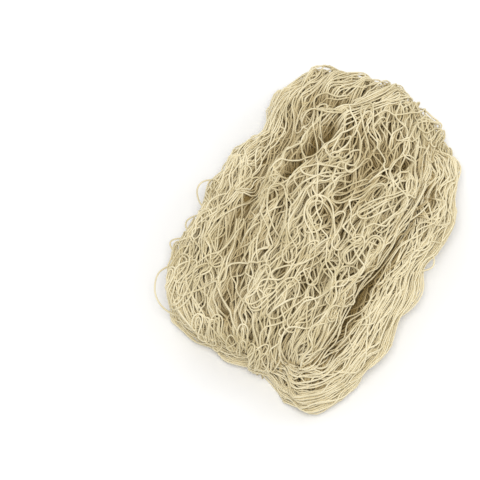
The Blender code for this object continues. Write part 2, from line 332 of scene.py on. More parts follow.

# Partings, where the upper strands draw aside and show the depths, painted brown as painted shade: the two
# ends of chosen ones on the unrolled skin and their width, then how many more, over which part of it, how
# long, wide and leaning. EDGE is how sharply strands part, and REACH over how many widths they do.
PARTINGS = (
    ((-16, 74), (-24, 54), 3.4),
    ((-26, 52), (-36, 30), 3.6),
    ((-14, 96), (-20, 88), 2.4),
    ((58, 2), (50, -24), 2.6),
    ((50, -28), (45, -58), 2.8),
    ((14, 14), (10, -4), 2.4),
    ((-2, 8), (-8, -10), 2.2),
    ((-46, 8), (-46, -14), 2.4),
    ((-20, 16), (-26, -6), 3.0),
    ((34, 78), (24, 60), 2.8),
    ((14, -34), (6, -58), 2.8),
    ((-28, -46), (-32, -70), 2.6),
)
MORE_PARTINGS = dict(
    count=66, x=(-44, 50), y=(-96, 92), length=(12, 26), width=(1.5, 3.2), lean=-12, spread=9,
)
PARTING_EDGE = 1.0
PARTING_REACH = 2.6

# Swellings and dips of the whole pile: their place on the unrolled skin, reach and rise
TRIMS = (
    ((-6, -132), 18, -3.0),
    ((10, 134), 28, 2.0),
    ((74, 116), 28, 4.0),
)

# Slack meshes that lie on top as narrow loops, several strands nested: how many, over which part of the
# unrolled skin, how many strands nest, the length and number of their waves, how far they swing in
# degrees, how their long axis leans and how much that varies, and how far their ends dip
HAIRPIN_COLUMNS = ("count", "x", "y", "ply", "wave", "waves", "swing", "lean", "spread", "dip")
HAIRPINS = (
    (11, (-36, 46), (-84, 84), (1, 2), (52, 80), (0.7, 1.5), (80, 98), -12, 9, 14),
    (18, (-38, 48), (-96, 92), (1, 1), (48, 80), (0.7, 1.5), (80, 104), -11, 12, 12),
    (16, (-86, -54), (-96, 10), (1, 2), (46, 76), (0.7, 1.8), (76, 106), 6, 18, 10),
    (12, (-56, 10), (-116, -104), (1, 2), (36, 56), (1.0, 2.4), (86, 98), -6, 8, 8),
    (5, (18, 58), (86, 118), (1, 1), (34, 50), (0.8, 1.4), (60, 84), -18, 20, 10),
    (4, (50, 66), (92, 112), (1, 1), (34, 60), (0.7, 2.0), (70, 104), 10, 20, 9),
)

# How square the turns of narrow loops are, their steps, how far nested strands lie apart and by what
# range of shares, how often a strand swerves and wobbles on its way, and how much of its ends is cut off
SQUARENESS = 2.2
HAIRPIN_STEPS = 240
NEST_GAP = 1.9
NEST_RANGE = (0.7, 1.6)
SWERVES = 9
WOBBLES = 14
CUT_RANGE = (0, 8)

# Single curls that catch the eye: how many strands lie together in each, and its points on the unrolled
# skin
CURLS = (
    (2, [(-12, 118), (-26, 104), (-34, 106), (-40, 100), (-37, 88), (-30, 81), (-20, 83), (-8, 92)]),
    (1, [(24, 66), (12, 83), (8, 97), (2, 106), (-3, 103), (0, 90), (6, 82), (18, 62)]),
    (1, [(60, 38), (52, 57), (48, 71), (42, 74), (36, 64), (34, 52), (40, 40), (48, 24)]),
    (1, [(10, 44), (0, 38), (-13, 36), (-22, 32), (-27, 29), (-20, 24), (-8, 28), (6, 34)]),
    (2, [(28, 50), (14, 34), (6, 24), (1, 15), (5, 12), (14, 18), (24, 30), (34, 46)]),
    (2, [(54, 46), (40, 30), (31, 22), (22, 13), (23, 8), (31, 6), (39, 16), (50, 34)]),
    (1, [(-14, -28), (-26, -22), (-36, -10), (-40, 6), (-36, 14), (-30, 14), (-24, 0), (-18, -26)]),
    (1, [(-38, 96), (-32, 76), (-26, 64), (-20, 44), (-14, 40), (-12, 30), (-4, 10)]),
    (1, [(-6, 84), (-16, 66), (-18, 48), (-30, 40), (-44, 36), (-52, 20)]),
    (2, [(10, -24), (3, -13), (-4, -9), (-9, -2), (-8, 7), (-2, 12), (4, 10), (10, 0), (16, -22)]),
)

# A curl's steps, how far its ends dip, into what parts it is smoothed, and by what
# shares its strands lie apart
CURL_STEPS = 180
CURL_DIP = 10.0
CURL_BLURS = (14, 20)
CURL_RANGE = (0.8, 2.0)

# Single loops that stand out of the bundle: where their two feet are on the unrolled
# skin, and how high they rise
LOOPS = (
    ((-94, -62), (-76, -106), 12),
    ((-92, -42), (-96, -59), 7),
    ((-94, -17), (-96, -38), 6),
    ((-90, 13), (-96, -14), 6),
    ((-82, 42), (-92, 20), 5),
    ((-68, 66), (-79, 53), 5),
    ((-75, -80), (-70, -58), 6),
    ((-76, -26), (-68, 0), 6),
    ((-58, 22), (-60, 46), 6),
    ((-42, 72), (-32, 89), 6),
    ((-18, 56), (-28, 77), 7),
    ((-26, 9), (0, 36), 6),
    ((-48, -43), (-36, -16), 6),
    ((-34, -90), (-52, -68), 5),
    ((-8, -85), (8, -62), 6),
    ((2, -34), (17, -10), 6),
    ((22, 38), (38, 63), 6),
    ((10, 82), (18, 98), 5),
    ((38, 0), (52, 27), 5),
    ((41, -66), (36, -43), 5),
    ((54, 80), (54, 96), 5),
    ((40, -98), (52, -84), 5),
    ((91, 20), (86, -4), 6),
)
LOOP_STEPS = 26
LOOP_FULLNESS = 0.7
ROOT_DEPTH = 5.0

# The heap inside: the corners of its rings, how many rings, and the height of its flat foot
CORE_TURNS = 120
CORE_RINGS = 60
CORE_FOOT = 4.0

# How much brighter a layer's twine is for each step of its pale, as painted light, how much brighter knots
# and loops are, and how much brighter or darker some pieces are: painted light on the rims and the strands
# on top, painted shade on the middle layers and the first upper one
PALE_PAINTED_LIGHT = 0.1
KNOT_SHADE = 0.6
LOOP_SHADE = 0.8
LIT_AND_SHADED_TONES = {
    "rims": 0.5,
    "middle_a": -0.1,
    "middle_b": -0.1,
    "upper_a": -0.2,
    "upper_b": 0.0,
    "top": 0.3,
    "curls": 0.2,
}

# The twine's twist: the way in which a ply goes once round it, and how many plies it has
TWIST_PITCH = 2.4
PLIES = 3

# The grain of its colour: the scale and detail of each noise and its share in the tone, and the shade's
# share
PATCHES = (55.0, 3.0, 2.0)
BLOTCHES = (180.0, 3.0, 0.7)
FIBRES = (900.0, 2.0, 0.2)
SHADE_SHARE = 0.5
TONE_SHIFT = 1.15

# What the cotton's colour is multiplied by where its tone is dim and bright, the tone being random
# mottling with painted light and shade, and the painted shade colour's where it is darkest, deep in the heap
DIM = (0.80, 0.765, 0.66)
BRIGHT = (1.11, 1.12, 1.15)
DARKEST_PAINTED_SHADE = (0.54, 0.45, 0.27)
UNCHANGED = (1, 1, 1)

# Over what depth the cream turns to the brown of painted shade and that brown turns dark, and the share of
# the lighter one at no depth
CREAM_DEPTH, CREAM_SHARE = 4, 0.95
BROWN_DEPTH, BROWN_SHARE = 8, 1.4

# The relief of the twine's surface, and its matt, slightly downy finish
TWIST_RELIEF = 0.5
FIBRE_RELIEF = 0.6
BUMP = {"Strength": 0.35, "Distance": 0.0001}
FINISH = {"Roughness": 0.92, "Specular IOR Level": 0.2, "Sheen Weight": 0.25, "Sheen Roughness": 0.5}
SHEEN_TINT = (1.1, 1.1, 1.1)

# The photograph's view: its size and scale in mm a pixel, where in it the point aimed at lies, that
# point's height, the camera's direction in degrees, its distance, and its sensor's width in mm
IMAGE = 480
PIXEL = 0.72
AIM_X, AIM_Y = 317, 236
AIM_HEIGHT = 0.025
AZIMUTH = 21.245
ELEVATION = 65
DISTANCE = 1.6
SENSOR = 36

# The studio: the floor's half width and finish, the places and sizes of the two lights beyond the bundle,
# and how far the front light is from the point aimed at, towards the camera and up, and its size
FLOOR_HALF = 3.0
FLOOR_FINISH = {"Base Color": (0.95, 0.95, 0.95, 1), "Roughness": 0.9}
SKY_COLOUR = (1.0, 1.0, 1.0, 1)
KEY_PLACE, KEY_SIZE = (-0.75, 0.6, 1.0), 0.7
SIDE_PLACE, SIDE_SIZE = (0.95, 0.75, 0.8), 0.8
FRONT_BACK, FRONT_UP, FRONT_SIZE = 1.5, 0.15, 0.5

COLOUR = dict(subtype="COLOR", size=3, min=0, max=1)
POWER = dict(min=0, unit="POWER")


class NetSettings(bpy.types.PropertyGroup):
    """Sizes and colours of the net, and its light."""

    twine: FloatProperty(
        name="Twine",
        description="Thickness of the cotton twine",
        default=0.0013,
        min=0.001,
        max=0.003,
        unit="LENGTH",
    )
    seed: IntProperty(
        name="Seed",
        description="Chooses another arrangement of the strands",
        default=3,
        min=0,
    )
    cotton: FloatVectorProperty(
        name="Cotton",
        description="Colour of the undyed twine",
        default=(0.78, 0.695, 0.475),
        **COLOUR,
    )
    # Painted shade: the colour painted on twine far down between the strands and in the creases, where the
    # heap's shade falls
    deep: FloatVectorProperty(
        name="Deep Cotton",
        description="Colour of twine far down between the strands",
        default=(0.61, 0.505, 0.29),
        **COLOUR,
    )
    sky: FloatProperty(
        name="Sky",
        description="Strength of the even light from all round",
        default=0.58,
        min=0,
    )
    front: FloatProperty(
        name="Front Light",
        description="Power of the soft light above the camera, which reaches into the gaps",
        default=11.0,
        **POWER,
    )
    key: FloatProperty(
        name="Key Light",
        description="Power of the broad light beyond the bundle, at the left",
        default=2.5,
        **POWER,
    )
    side: FloatProperty(
        name="Side Light",
        description="Power of the broad light beyond the bundle, at the right",
        default=4.2,
        **POWER,
    )


def row_values(name, at):
    """One column of SECTIONS at fractional row numbers, as a smooth Catmull-Rom curve through the rows."""
    rows = np.array(SECTIONS, float)[:, SECTION_COLUMNS.index(name)]
    ends = np.concatenate([[2 * rows[0] - rows[1]], rows, [2 * rows[-1] - rows[-2]]])
    below = np.clip(np.floor(at).astype(int), 0, len(rows) - 2)
    part = at - below
    before, start, end, after = (ends[below + k] for k in range(4))
    return 0.5 * (
        2 * start
        + (end - before) * part
        + (2 * before - 5 * start + 4 * end - after) * part**2
        + (3 * start - before - 3 * end + after) * part**3
    )


def smooth_step(values, low, high):
    """0 up to low, 1 from high on, and t*t*(3 - 2t) between, with t the share of the way."""
    share = np.clip((values - low) / (high - low), 0, 1)
    return share * share * (3 - 2 * share)


def waves(a, b, seed, scale):
    """Gentle lumps between about -1 and 1: a sum of plane waves of seeded direction and phase."""
    random = np.random.default_rng(seed)
    total = np.zeros(np.broadcast(a, b).shape)
    for _ in range(WAVE_COUNT):
        heading = random.uniform(0, 2 * math.pi)
        length = scale * random.uniform(*WAVE_LENGTHS)
        phase = random.uniform(0, 2 * math.pi)
        total += np.sin((a * math.cos(heading) + b * math.sin(heading)) * 2 * math.pi / length + phase)
    return total / math.sqrt(WAVE_COUNT) / WAVE_HEIGHT


def vary(kind, a, b, seed=0):
    """One kind of WAVES over (a, b): its rise times the waves over a / its width and b * its share."""
    number, rise, width, share, length = WAVES[kind]
    return rise * waves(a / width, b * share, seed + number, length)


def blur(values, width, axis):
    """Three running means along one axis, each width samples wide, which come close to a bell curve."""
    half = max(int(width // 2), 1)
    span, count = 2 * half + 1, values.shape[axis]
    for _ in range(3):
        first, last = np.take(values, [0], axis), np.take(values, [-1], axis)
        padded = np.concatenate([np.repeat(first, half, axis), values, np.repeat(last, half, axis)], axis)
        total = np.cumsum(padded, axis)
        total = np.concatenate([np.zeros_like(np.take(total, [0], axis)), total], axis)
        high = np.take(total, np.arange(span, span + count), axis)
        low = np.take(total, np.arange(0, count), axis)
        values = (high - low) / span
    return values


def blur_grid(values, width):
    """A grid blurred down its rows and along them."""
    return blur(blur(values, width, 0), width, 1)


def unit(vectors):
    """Vectors divided by their lengths."""
    return vectors / np.maximum(np.linalg.norm(vectors, axis=-1, keepdims=True), 1e-9)


def walked_along(line):
    """How far each point of a line is from its first, along it."""
    return np.concatenate([[0], np.cumsum(np.linalg.norm(np.diff(line, axis=0), axis=1))])


def between(table, row, column):
    """Values of a table at fractional row and column numbers, mixed from the four cells round each."""
    low_row, low_column = row.astype(int), column.astype(int)
    part_row, part_column = row - low_row, column - low_column
    if table.ndim == 3:
        part_row, part_column = part_row[..., None], part_column[..., None]
    near, far = (
        table[rows, low_column] * (1 - part_column) + table[rows, low_column + 1] * part_column
        for rows in (low_row, low_row + 1)
    )
    return near * (1 - part_row) + far * part_row


def distance_to_line(x, y, line):
    """Distance in plan from each point to a line of straight pieces."""
    nearest = np.full(x.shape, np.inf)
    for (ax, ay), (bx, by) in zip(line[:-1], line[1:]):
        dx, dy = bx - ax, by - ay
        share = np.clip(((x - ax) * dx + (y - ay) * dy) / (dx * dx + dy * dy), 0, 1)
        nearest = np.minimum(nearest, np.hypot(x - ax - share * dx, y - ay - share * dy))
    return nearest


class Skin:
    """The bundle's smooth outside, unrolled from its top centre.

    A point (X, Y) of the unrolled plane is reached by walking hypot(X, Y) mm from the top centre, in
    the direction of (X, Y), over the crown, down the wall and under the bundle. Each direction's walk
    is a profile of the superellipse sections, measured by its own length.
    """

    def __init__(self):
        station = np.linspace(0, len(SECTIONS) - 1, STATIONS)
        self.rows = {name: row_values(name, station) for name in SECTION_COLUMNS}
        self.x_axis = np.arange(-SKIN_X, SKIN_X + CELL / 2, CELL)
        self.y_axis = np.arange(-SKIN_Y, SKIN_Y + CELL / 2, CELL)
        self.grid = np.meshgrid(self.x_axis, self.y_axis)
        self.make_grids()

    def row(self, name, y):
        """One column of SECTIONS at places y along the bundle."""
        return np.interp(y, self.rows["y"], self.rows[name])

    def across(self, x, y):
        """How far out a plan point lies in its section: 0 in the middle, 1 at the outline."""
        left, right = self.row("left", y), self.row("right", y)
        half = np.maximum((right - left) / 2, NARROWEST)
        share = np.abs(x - (left + right) / 2) / half
        return np.where((y < self.rows["y"][0]) | (y > self.rows["y"][-1]), OUTSIDE, share)

    def heights(self, x, y):
        """(top height, underside height) over a plan point, from the superellipse sections.

        They are side + (crown - side)*s^CROWN_POWER and side - under*s, where c = across^(1 / SIDE_POWER)
        and s = sqrt(1 - c*c).
        """
        cosine = np.clip(self.across(x, y), 0, 1) ** (1 / SIDE_POWER)
        sine = np.sqrt(1 - cosine**2)
        side = self.row("side_z", y)
        top = side + (self.row("crown_z", y) - side) * sine**CROWN_POWER
        below = np.maximum(side - np.maximum(self.row("under", y), 0) * sine, 0)
        return top, below

    def profiles(self):
        """Tables over (degree, mm walked) of plan radius and height, and the ways to outline and floor."""
        turn = np.radians(DEGREES)
        cos, sin = np.cos(turn), np.sin(turn)
        inside, outside = np.zeros(len(turn)), np.full(len(turn), FARTHEST)
        for _ in range(RIM_HALVINGS):
            middle = (inside + outside) / 2
            within = self.across(middle * cos, middle * sin) <= 1
            inside, outside = np.where(within, middle, inside), np.where(within, outside, middle)
        rim = np.minimum(blur(inside, RIM_BLUR, 0), inside)
        rise = np.linspace(0, math.pi / 2, WALK_STEPS)
        fall = np.linspace(math.pi / 2, WALK_END, WALK_STEPS)[1:]
        walked = np.arange(0, LONGEST_WALK, 1.0)
        radius, height = np.zeros((2, len(turn), len(walked)))
        to_rim, to_floor = np.zeros((2, len(turn)))
        for k in range(len(turn)):
            up, down = rim[k] * np.sin(rise), rim[k] * np.sin(fall)
            top = self.heights(up * cos[k], up * sin[k])[0]
            below = self.heights(down * cos[k], down * sin[k])[1]
            out, high = np.concatenate([up, down]), np.concatenate([top, below])
            length = np.concatenate([[0], np.cumsum(np.hypot(np.diff(out), np.diff(high)))])
            radius[k] = np.interp(walked, length, out)
            height[k] = np.interp(walked, length, high)
            to_rim[k] = length[len(up) - 1]
            to_floor[k] = length[len(up) + np.argmax(below <= ON_FLOOR)]
        return radius, height, to_rim, to_floor

    def make_grids(self):
        """The skin over the unrolled plane, and what the layers read there.

        points and normals are its places and outward ways, stretch how much longer a circle round the
        top centre is in the plane than on the skin, cover and rim how far inside the floor's edge and
        the outline a place is, relief the height of the folds, and parting how far strands draw aside.
        """
        radius, height, to_rim, self.to_floor = self.profiles()
        grid_x, grid_y = self.grid
        across = np.hypot(grid_x, grid_y)
        walked = np.clip(across, 0, radius.shape[1] - LAST_CELL)
        turn = np.degrees(np.arctan2(grid_y, grid_x)) % 360
        out, high = between(radius, turn, walked), between(height, turn, walked)
        across = np.maximum(across, 1e-6)
        points = np.stack([out * grid_x / across, out * grid_y / across, high], -1)
        self.points = blur_grid(points, POINT_BLUR)
        normals = np.cross(np.gradient(self.points, axis=1), np.gradient(self.points, axis=0))
        self.normals = unit(blur_grid(normals, NORMAL_BLUR))
        self.stretch = np.clip(across / np.maximum(out, 1), 1, MOST_STRETCH)
        self.cover = np.interp(turn, DEGREES, self.to_floor) - across + LAP
        self.rim = np.interp(turn, DEGREES, to_rim) - across
        self.relief = self.fold_relief()
        self.parting = self.part(grid_x, grid_y)
        self.find_flow()

    def part(self, x, y):
        """How far strands draw aside at each place, summed over all partings.

        One is width*tanh(v / edge), fading with v over a few widths and with u over the parting's
        length, where u and v are the ways along and across it.
        """
        random = np.random.default_rng(PARTING_SEED)
        more, slots = MORE_PARTINGS, []
        for start, end, width in PARTINGS:
            start, end = complex(*start), complex(*end)
            slots.append(((start + end) / 2, (end - start) / 2, width))
        for _ in range(more["count"]):
            centre = complex(random.uniform(*more["x"]), random.uniform(*more["y"]))
            lean = math.radians(more["lean"] + more["spread"] * random.normal())
            half = random.uniform(*more["length"]) / 2 * complex(-math.sin(lean), math.cos(lean))
            slots.append((centre, half, random.uniform(*more["width"])))
        place, shift = x + 1j * y, np.zeros(x.shape, complex)
        for centre, half, width in slots:
            local = (place - centre) * np.conj(half) / abs(half)
            u, v = local.real / abs(half), local.imag
            push = width * np.tanh(v / PARTING_EDGE) * np.exp(-((v / width / PARTING_REACH) ** 2) - u * u)
            shift += push * 1j * half / abs(half)
        return np.stack([shift.real, shift.imag], -1)

    def find_flow(self):
        """How strands draw together and aside along the bundle: they follow its left and right rims."""
        inner = self.rim > 0
        wide = inner.sum(1) * CELL
        right = np.where(inner, self.x_axis, -np.inf).max(1)
        left = np.where(inner, self.x_axis, np.inf).min(1)
        near = np.flatnonzero(wide > FLOW_LEAST)[0]
        far = int((SKIN_Y + FLOW_FAR) / CELL)
        rows = np.clip(np.arange(len(wide)), near, far)
        spread = FLOW_BLUR / CELL
        self.flow_middle = blur((left[rows] + right[rows]) / 2, spread, 0)
        self.flow_width = blur((right[rows] - left[rows]) / wide.max(), spread, 0)

    def fold_relief(self):
        """Lumps, furrows, folds and trims. Each fold and trim is rise*exp(-(distance / width)^2)."""
        x, y, z = np.moveaxis(self.points, -1, 0)
        top = smooth_step(self.rim, *FOLD_FADE)
        relief = vary("lumps", x + 2 * z, y) + vary("furrows", x + z, y)
        for width, rise, line in FOLDS.values():
            relief = relief + top * rise * np.exp(-((distance_to_line(x, y, line) / width) ** 2))
        for (at_x, at_y), reach, rise in TRIMS:
            away = np.hypot(self.grid[0] - at_x, self.grid[1] - at_y) / reach
            relief = relief + rise * np.exp(-(away**2))
        return relief

    def place(self, x, y):
        """Fractional grid indices of unrolled points, kept inside the grid."""
        i = np.clip((x + SKIN_X) / CELL, 0, len(self.x_axis) - LAST_CELL)
        j = np.clip((y + SKIN_Y) / CELL, 0, len(self.y_axis) - LAST_CELL)
        return i, j

    def sample(self, table, x, y):
        """Values of a grid at unrolled points."""
        i, j = self.place(x, y)
        return between(table, j, i)


class Ground(Skin):
    """The flat underside: its plane is the floor, in plan."""

    def make_grids(self):
        """The same grids as the skin's over the floor, as far as the underside lies near it."""
        grid_x, grid_y = self.grid
        self.points = np.stack([grid_x, grid_y, np.zeros_like(grid_x)], -1)
        self.normals = np.zeros_like(self.points)
        self.normals[..., 2] = 1
        self.stretch = np.ones_like(grid_x)
        self.cover = BASE_RISE - self.heights(grid_x, grid_y)[1]
        self.cover[self.across(grid_x, grid_y) > 1] = -BASE_RISE
        self.rim = self.cover
        self.find_flow()


class Pile:
    """How high the strands laid so far reach over the skin, on the skin's grid."""

    def __init__(self, skin, start, radius):
        self.skin = skin
        self.start = start
        self.height = np.full(skin.cover.shape, start)
        self.radius = radius

    def lay(self, x, y, inside, dip):
        """Heights of strands over the pile, one strand a row, and then adds them to it.

        A strand starts on its support. It is smoothed along itself and lifted back onto the support by
        turns, so that it bends over what it crosses and bridges the gaps between.
        """
        near = ((0, 0), (CELL, 0), (-CELL, 0), (0, CELL), (0, -CELL))
        support = np.maximum.reduce([self.skin.sample(self.height, x + dx, y + dy) for dx, dy in near])
        support = support + self.radius
        height = support
        for width in STIFFNESS:
            height = np.maximum(support, blur(height, width, 1))
        height = blur(height, REST_BLUR, 1) - dip
        self.cover(x[inside], y[inside], height[inside])
        return height

    def cover(self, x, y, height):
        """Raises the pile to the upper half of a tube of the twine's radius round each point."""
        i, j = self.skin.place(x, y)
        flat = self.height.reshape(-1)
        rows, columns = self.height.shape
        wide = self.radius * self.skin.sample(self.skin.stretch, x, y)
        reach = int(math.ceil(self.radius * MOST_STRETCH / CELL))
        low_i, low_j = np.rint(i).astype(int), np.rint(j).astype(int)
        for dj in range(-reach, reach + 1):
            for di in range(-reach, reach + 1):
                at_i, at_j = low_i + di, low_j + dj
                away = np.hypot(at_i - i, at_j - j) * CELL / wide
                near = (away < 1) & (at_i >= 0) & (at_i < columns) & (at_j >= 0) & (at_j < rows)
                rise = height[near] + self.radius * np.sqrt(1 - away[near] ** 2)
                np.maximum.at(flat, at_j[near] * columns + at_i[near], rise)

    def mean_height(self, reach):
        """The pile's height, smoothed over a reach in mm of what is covered."""
        laid = self.height > self.start
        share = blur_grid(laid.astype(float), reach / CELL)
        total = blur_grid(np.where(laid, self.height, 0), reach / CELL)
        return total / np.maximum(share, LEAST_COVER)


def buckled_bars(start, end, length, bow, sway, ripple, phase, uneven):
    """Points along bars between two knots, in the plane. A bar is longer than the way between its knots.

    Its heading is bow*sin(2 pi s) + sway*sin(4 pi s + phase) + ripple*cos(pi s) for s from 0 to 1,
    times a size that is found by halving, so that the bar's length and the way between its ends agree.
    To that comes uneven*(q sin(8 pi s) + phase*sin(6 pi s)), with q the phase of the bar before it.
    """
    s = (np.arange(SAMPLES) + 0.5) / SAMPLES
    before = np.roll(phase, 1, -1)[..., None]
    bow, sway, ripple, phase = bow[..., None], sway[..., None], ripple[..., None], phase[..., None]
    kink = (before * np.sin(8 * math.pi * s) + phase * np.sin(6 * math.pi * s)) * uneven
    heading = (
        bow * np.sin(2 * math.pi * s) + sway * np.sin(4 * math.pi * s + phase) + ripple * np.cos(math.pi * s)
    )
    way = end - start
    share = np.clip(np.hypot(way[..., 0], way[..., 1]) / length, SLACKEST, STRAIGHTEST)
    low, high = np.zeros(share.shape), np.full(share.shape, MOST_BOW)
    for _ in range(BOW_HALVINGS):
        size = (low + high) / 2
        turned_by = heading * size[..., None] + kink
        reach = np.hypot(np.cos(turned_by).mean(-1), np.sin(turned_by).mean(-1))
        low, high = np.where(reach > share, size, low), np.where(reach > share, high, size)
    steps = np.exp(1j * (heading * ((low + high) / 2)[..., None] + kink))
    path = np.concatenate([np.zeros(steps.shape[:-1] + (1,)), np.cumsum(steps, -1)], -1)
    fit = (way[..., 0] + 1j * way[..., 1]) / path[..., -1]
    return path * fit[..., None] + (start[..., 0] + 1j * start[..., 1])[..., None]


def lattice(layer, rows, seed):
    """Long strands in a plane, (x, y) arrays with a strand a row, knotted to their neighbours by turns.

    Knots lie in columns, gap apart. Along a column they follow each other at the layer's row, or nearly
    a bar's length in patches that are pulled tight, and each strays a little. Strand k goes to and fro
    between columns k and k + 1, and its bars bow and sway partly as their neighbours do and partly on
    their own.
    """
    random = np.random.default_rng(seed)
    strands, gap, stray, alike, bar = (layer[name] for name in ("strands", "gap", "stray", "alike", "bar"))
    m, j = np.meshgrid(np.arange(strands + 1), np.arange(rows + 1), indexing="ij")
    tight = np.clip(0.5 + vary("tight patches", m * gap, j, seed), 0, 1)
    spacing = np.cumsum(layer["row"] + max(TIGHT_SHARE * bar - layer["row"], 0) * tight, 1)
    knot_x = (m - strands / 2) * gap + random.normal(0, stray * STRAY_ACROSS, m.shape)
    lift = random.normal(0, STRAY_ALONG, m.shape) + vary("lift of knots", m, j, seed)
    knot_y = spacing - spacing.mean(1, keepdims=True) + stray * bar * lift
    k, j = m[:-1], j[:-1]
    column = k + (k + j) % 2
    knots = np.stack([knot_x[column, j], knot_y[column, j]], -1)
    k, j = k[:, :-1], j[:, :-1]
    by_turns = np.where((k + j) % 2 == 0, 1.0, -1.0)
    single = 1 - alike
    own_bow, own_sway, ripple, phase = random.normal(0, 1, (4, strands, rows))
    bow = alike * vary("bows", k, j, seed) + layer["apart"] * single * by_turns + OWN_BOW * single * own_bow
    sway = COMMON_SWAY * alike * vary("sways", k, j, seed) + OWN_SWAY * single * own_sway
    bars = buckled_bars(
        knots[:, :-1], knots[:, 1:], bar, bow, sway, RIPPLE * ripple, PHASE * phase, layer["kink"]
    )
    line = np.concatenate([bars[:, :, :-1].reshape(strands, -1), bars[:, -1:, -1]], 1)
    return line.real, line.imag


def turned(x, y, degrees):
    """Points turned round the origin of their plane."""
    angle = math.radians(degrees)
    return x * math.cos(angle) - y * math.sin(angle), x * math.sin(angle) + y * math.cos(angle)


def with_the_flow(skin, x, y):
    """From a layer's own plane to the unrolled skin: strands keep their share of the way between the rims.

    In the far half they lean aside as well.
    """
    middle = np.interp(y, skin.y_axis, skin.flow_middle) + FLOW_LEAN * np.maximum(y - FLOW_LEAN_FROM, 0)
    return middle + x * np.interp(y, skin.y_axis, skin.flow_width), y


def along_guide(line, across, along):
    """Points beside a smooth curve through a line's points: along from its middle, and across to its right.

    Also gives how far inside the curve's two ends the points are.
    """
    line = np.array(line, float)
    walked = walked_along(line)
    steps = np.arange(0, walked[-1], 1.0)
    curve = np.stack([np.interp(steps, walked, line[:, 0]), np.interp(steps, walked, line[:, 1])], 1)
    curve = blur(curve, GUIDE_BLUR, 0)
    heading = unit(blur(np.gradient(curve, axis=0), GUIDE_BLUR, 0))
    at = along + walked[-1] / 2
    beyond = at - np.clip(at, 0, steps[-1])
    ahead_x, ahead_y = np.interp(at, steps, heading[:, 0]), np.interp(at, steps, heading[:, 1])
    x = np.interp(at, steps, curve[:, 0]) + ahead_x * beyond + ahead_y * across
    y = np.interp(at, steps, curve[:, 1]) + ahead_y * beyond - ahead_x * across
    return x, y, np.minimum(at, walked[-1] - at)


def meanders(family, random, seed):
    """Strands that swing to and fro in narrow loops round places of a family, one a row, several nested.

    A strand's heading off the way it goes is swing*tanh(q sin(2 pi s / wave))/tanh(q), with q the
    SQUARENESS: long straight legs and quick turns. Nested strands follow the same path NEST_GAP apart.
    """
    count = family["count"]

    def column(name):
        """A number from the family's range for each place."""
        return random.uniform(*family[name], (count, 1))

    swing, wave, centre_x, centre_y = np.radians(column("swing")), column("wave"), column("x"), column("y")
    length = wave * column("waves")
    share = np.linspace(0, 1, HAIRPIN_STEPS)[None, :]
    phase = random.uniform(0, 2 * math.pi, (count, 1))
    number = np.arange(count)[:, None]
    uneven = 1 + vary("uneven swing", share * SWERVES, number, seed)
    swing_to = np.sin(2 * math.pi * share * length / wave + phase)
    turning = np.tanh(SQUARENESS * swing_to) / math.tanh(SQUARENESS)
    heading = swing * uneven * turning + vary("swerve", share * SWERVES, number, seed)
    heading = heading + np.radians(family["lean"] + family["spread"] * random.normal(0, 1, (count, 1)))
    path = np.cumsum(np.exp(1j * heading) * length / HAIRPIN_STEPS, 1)
    path += centre_x + 1j * centre_y - path.mean(1, keepdims=True)
    ply = random.integers(family["ply"][0], family["ply"][1] + 1, count)
    rows = np.repeat(np.arange(count), ply)
    place = np.concatenate([np.arange(strands) - (strands - 1) / 2 for strands in ply])[:, None]
    wobble = vary("hairpin wobble", share * WOBBLES, np.arange(len(rows))[:, None], seed)
    apart = NEST_GAP * random.uniform(*NEST_RANGE, (len(rows), 1))
    path = path[rows] + (place * apart + wobble) * 1j * np.exp(1j * heading[rows])
    room = np.minimum(share, 1 - share) * length[rows] - random.uniform(*CUT_RANGE, (len(rows), 1))
    return path.real, path.imag, room


def curl_paths(random):
    """Each curl's strands as smooth lines through its points, one a row, and how far in from their ends."""
    share = np.linspace(0, 1, CURL_STEPS)
    rows, rooms = [], []
    for ply, line in CURLS:
        line = np.array(line, float)
        walked = walked_along(line)
        at = share * walked[-1]
        path = np.interp(at, walked, line[:, 0]) + 1j * np.interp(at, walked, line[:, 1])
        for part in CURL_BLURS:
            path = blur(path, CURL_STEPS / part, 0)
        ahead = np.gradient(path)
        ahead /= np.abs(ahead)
        for number in range(ply):
            wobble = vary("curl wobble", share * WOBBLES, len(rows), len(rows))
            rows.append(path + (number * NEST_GAP * random.uniform(*CURL_RANGE) + wobble) * 1j * ahead)
            rooms.append(np.minimum(share, 1 - share) * walked[-1])
    rows = np.array(rows)
    return rows.real, rows.imag, np.array(rooms)


def crease_room(points, x, y):
    """How far each point lies inside the left and right creases, in plan, and from the far limit."""
    room = np.interp(x, *np.array(FAR_LIMIT, float).T) - y
    for name, (way, lowest, near_turn, far_turn) in CREASES.items():
        line = near_turn + sorted(FOLDS[name][2], key=lambda point: point[1]) + far_turn
        line_x, line_y = np.array(line, float).T
        crease = np.interp(points[..., 1], line_y, line_x)
        beside = np.where(points[..., 1] > lowest, way * (crease - points[..., 0]), ALL_INSIDE)
        room = np.minimum(room, beside)
    return room


def run_of_twine(points, normals, depth, radius, shade):
    """A run's points, the outward way, depth and radius at each of them, and its shade."""
    count = len(points)
    return dict(
        points=points,
        normals=np.broadcast_to(normals, points.shape),
        depth=np.broadcast_to(depth, count),
        radius=np.broadcast_to(radius, count),
        shade=shade,
    )


